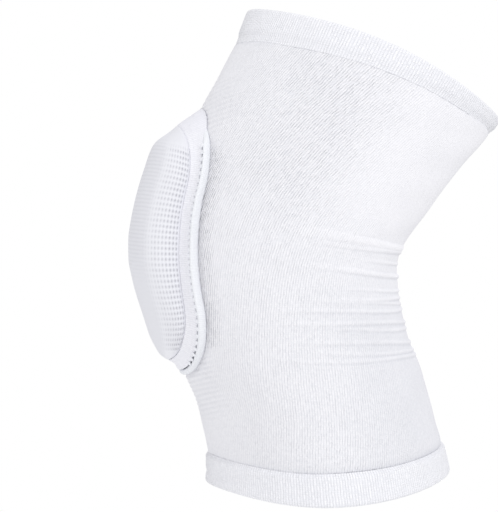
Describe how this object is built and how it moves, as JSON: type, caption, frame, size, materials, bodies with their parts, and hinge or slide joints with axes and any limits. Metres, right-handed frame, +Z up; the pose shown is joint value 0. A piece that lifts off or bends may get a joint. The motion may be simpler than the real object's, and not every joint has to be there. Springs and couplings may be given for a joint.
{
  "type": "elbow pad",
  "caption": "Knit elbow pad: a bent stretch sleeve, hemmed and open at both ends, with a soft foam pad in a mesh cover sewn over the point of the elbow",
  "frame": {"origin": "middle of the elbow joint inside the sleeve, in the plane that halves it", "axes": "+Z up toward the upper arm end, -X out of the point of the elbow through the pad, +Y across the arm"},
  "size_m": [0.163, 0.0892, 0.2068],
  "materials": {
    "sleeve_knit": "matte fine stretch knit",
    "hem_knit": "matte double knit, turned and sewn",
    "pad_cover": "matte open mesh knit over foam",
    "border_knit": "matte flat knit band",
    "edge_knit": "matte rolled knit edge"
  },
  "bodies": {
    "root": {"sleeve": "sleeve_knit", "lower_hem": "hem_knit", "upper_hem": "hem_knit", "pad": "pad_cover", "pad_border": "border_knit", "pad_edge_roll": "edge_knit"}
  },
  "joints": []
}
